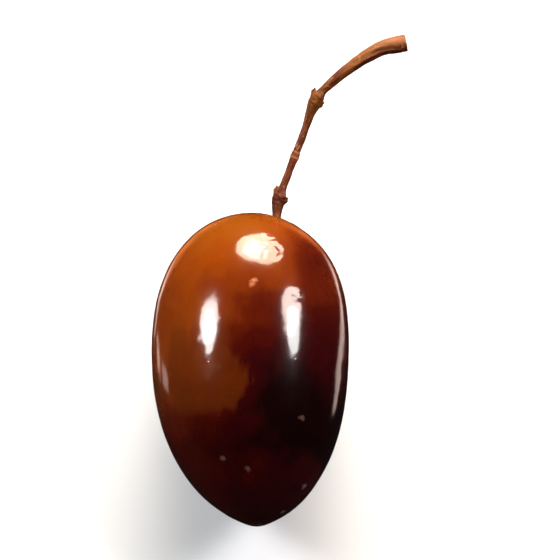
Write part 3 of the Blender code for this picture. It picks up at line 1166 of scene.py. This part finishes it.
def set_soft_boxes(stage, middle):
    """Oval area lights that face the middle, and show as long highlights on the skin."""
    for name, low, high, width, tint in SOFT_BOXES:
        low = Vector(low).normalized() * BOX_DISTANCE
        high = Vector(high).normalized() * BOX_DISTANCE
        data = bpy.data.lights.new(name, "AREA")
        data.shape = "ELLIPSE"
        data.size = width
        data.size_y = (high - low).length
        data.energy = stage.light * math.pi * math.pi * data.size * data.size_y / 4
        data.color = tint
        box = bpy.data.objects.new(name, data)
        bpy.context.scene.collection.objects.link(box)
        away = (low + high).normalized()
        upwards = (high - low).normalized()
        turned = Matrix((upwards.cross(away), upwards, away)).transposed()
        box.location = middle + away * BOX_DISTANCE
        box.rotation_euler = turned.to_euler()
        box.visible_camera = False


def set_room(stage):
    """A dim room, with a glow from below and behind that only shows along the olive's outline."""
    world = bpy.data.worlds.new("room")
    world.use_nodes = True
    tree = world.node_tree
    direction = add(tree, "TexCoord").outputs["Generated"]
    colour = (stage.room,) * 3
    for glints, tint in ((WARM_GLINTS, stage.warm_tint), (GLINTS, stage.pale_tint)):
        shares = []
        for towards, reach, share in glints:
            near = facing(tree, direction, tuple(Vector(towards).normalized()))
            outer, inner = math.cos(math.radians(reach)), math.cos(math.radians(reach * GLINT_CORE))
            shares.append(between(tree, near, outer, inner, 0.0, share))
        share = calculate(tree, "MINIMUM", sum_of(tree, *shares), 1.0)
        colour = blend(tree, share, colour, tuple(value * stage.glow for value in tint))
    tree.links.new(colour, tree.nodes["Background"].inputs["Color"])
    bpy.context.scene.world = world


def set_floor(stage):
    """A plain pale floor that the olive lies on."""
    deselect_everything()
    bpy.ops.mesh.primitive_plane_add(size=FLOOR_SIZE, location=(0, 0, -FLOOR_GAP))
    floor = bpy.context.object
    floor.name = "floor"
    material = bpy.data.materials.new("floor")
    material.use_nodes = True
    shader = material.node_tree.nodes["Principled BSDF"]
    set_up(shader, Base_Color=(*stage.floor_colour, 1.0), Roughness=0.9, Specular_IOR_Level=0.1)
    floor.data.materials.append(material)
    # Kept out of reflections, as a polarising filter keeps glare off a dark glossy fruit
    floor.visible_glossy = False
    floor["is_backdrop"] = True


class OLIVE_OT_stage(bpy.types.Operator):
    """Sets up the camera, the pale floor, the dim room and the soft boxes"""
    bl_idname = "olive.stage"
    bl_label = "Stage"

    def execute(self, context):
        stage = context.scene.olive_stage
        low, high = (Vector(corner) for corner in CAD_BOX)
        middle = (low + high) / 2
        up = camera_axes(stage.elevation)[1]
        size = high - low
        height = abs(size.y * up.y) + abs(size.z * up.z)
        set_camera(stage, middle, height)
        set_soft_boxes(stage, middle)
        set_room(stage)
        set_floor(stage)
        context.scene.view_settings.view_transform = "Standard"
        return {"FINISHED"}


# The add-on

class OLIVE_PT_panel(bpy.types.Panel):
    """Lists the olive's pieces, in the order in which they are made"""
    bl_idname = "OLIVE_PT_panel"
    bl_label = "Cured Olive"
    bl_space_type = "VIEW_3D"
    bl_region_type = "UI"
    bl_category = "Olive"

    def draw(self, context):
        column = self.layout.column()
        for operator in OPERATORS:
            column.operator(operator.bl_idname)


OPERATORS = (OLIVE_OT_stage, OLIVE_OT_fruit, OLIVE_OT_stalk)
SETTINGS = {
    "olive_fruit": OliveFruitSettings,
    "olive_stalk": OliveStalkSettings,
    "olive_finish": OliveFinishSettings,
    "olive_stage": OliveStageSettings,
}
CLASSES = (*SETTINGS.values(), *OPERATORS, OLIVE_PT_panel)


def register():
    for made in CLASSES:
        bpy.utils.register_class(made)
    for name, group in SETTINGS.items():
        setattr(bpy.types.Scene, name, PointerProperty(type=group))


def unregister():
    for name in SETTINGS:
        delattr(bpy.types.Scene, name)
    for made in reversed(CLASSES):
        bpy.utils.unregister_class(made)


def main():
    register()
    bpy.ops.olive.stage()
    bpy.ops.olive.fruit()
    bpy.ops.olive.stalk()
    boxes = {"cad": CAD_BOX, "visual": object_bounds()}
    boxes = {name: [list(corner) for corner in box] for name, box in boxes.items()}


if __name__ == "__main__":
    main()
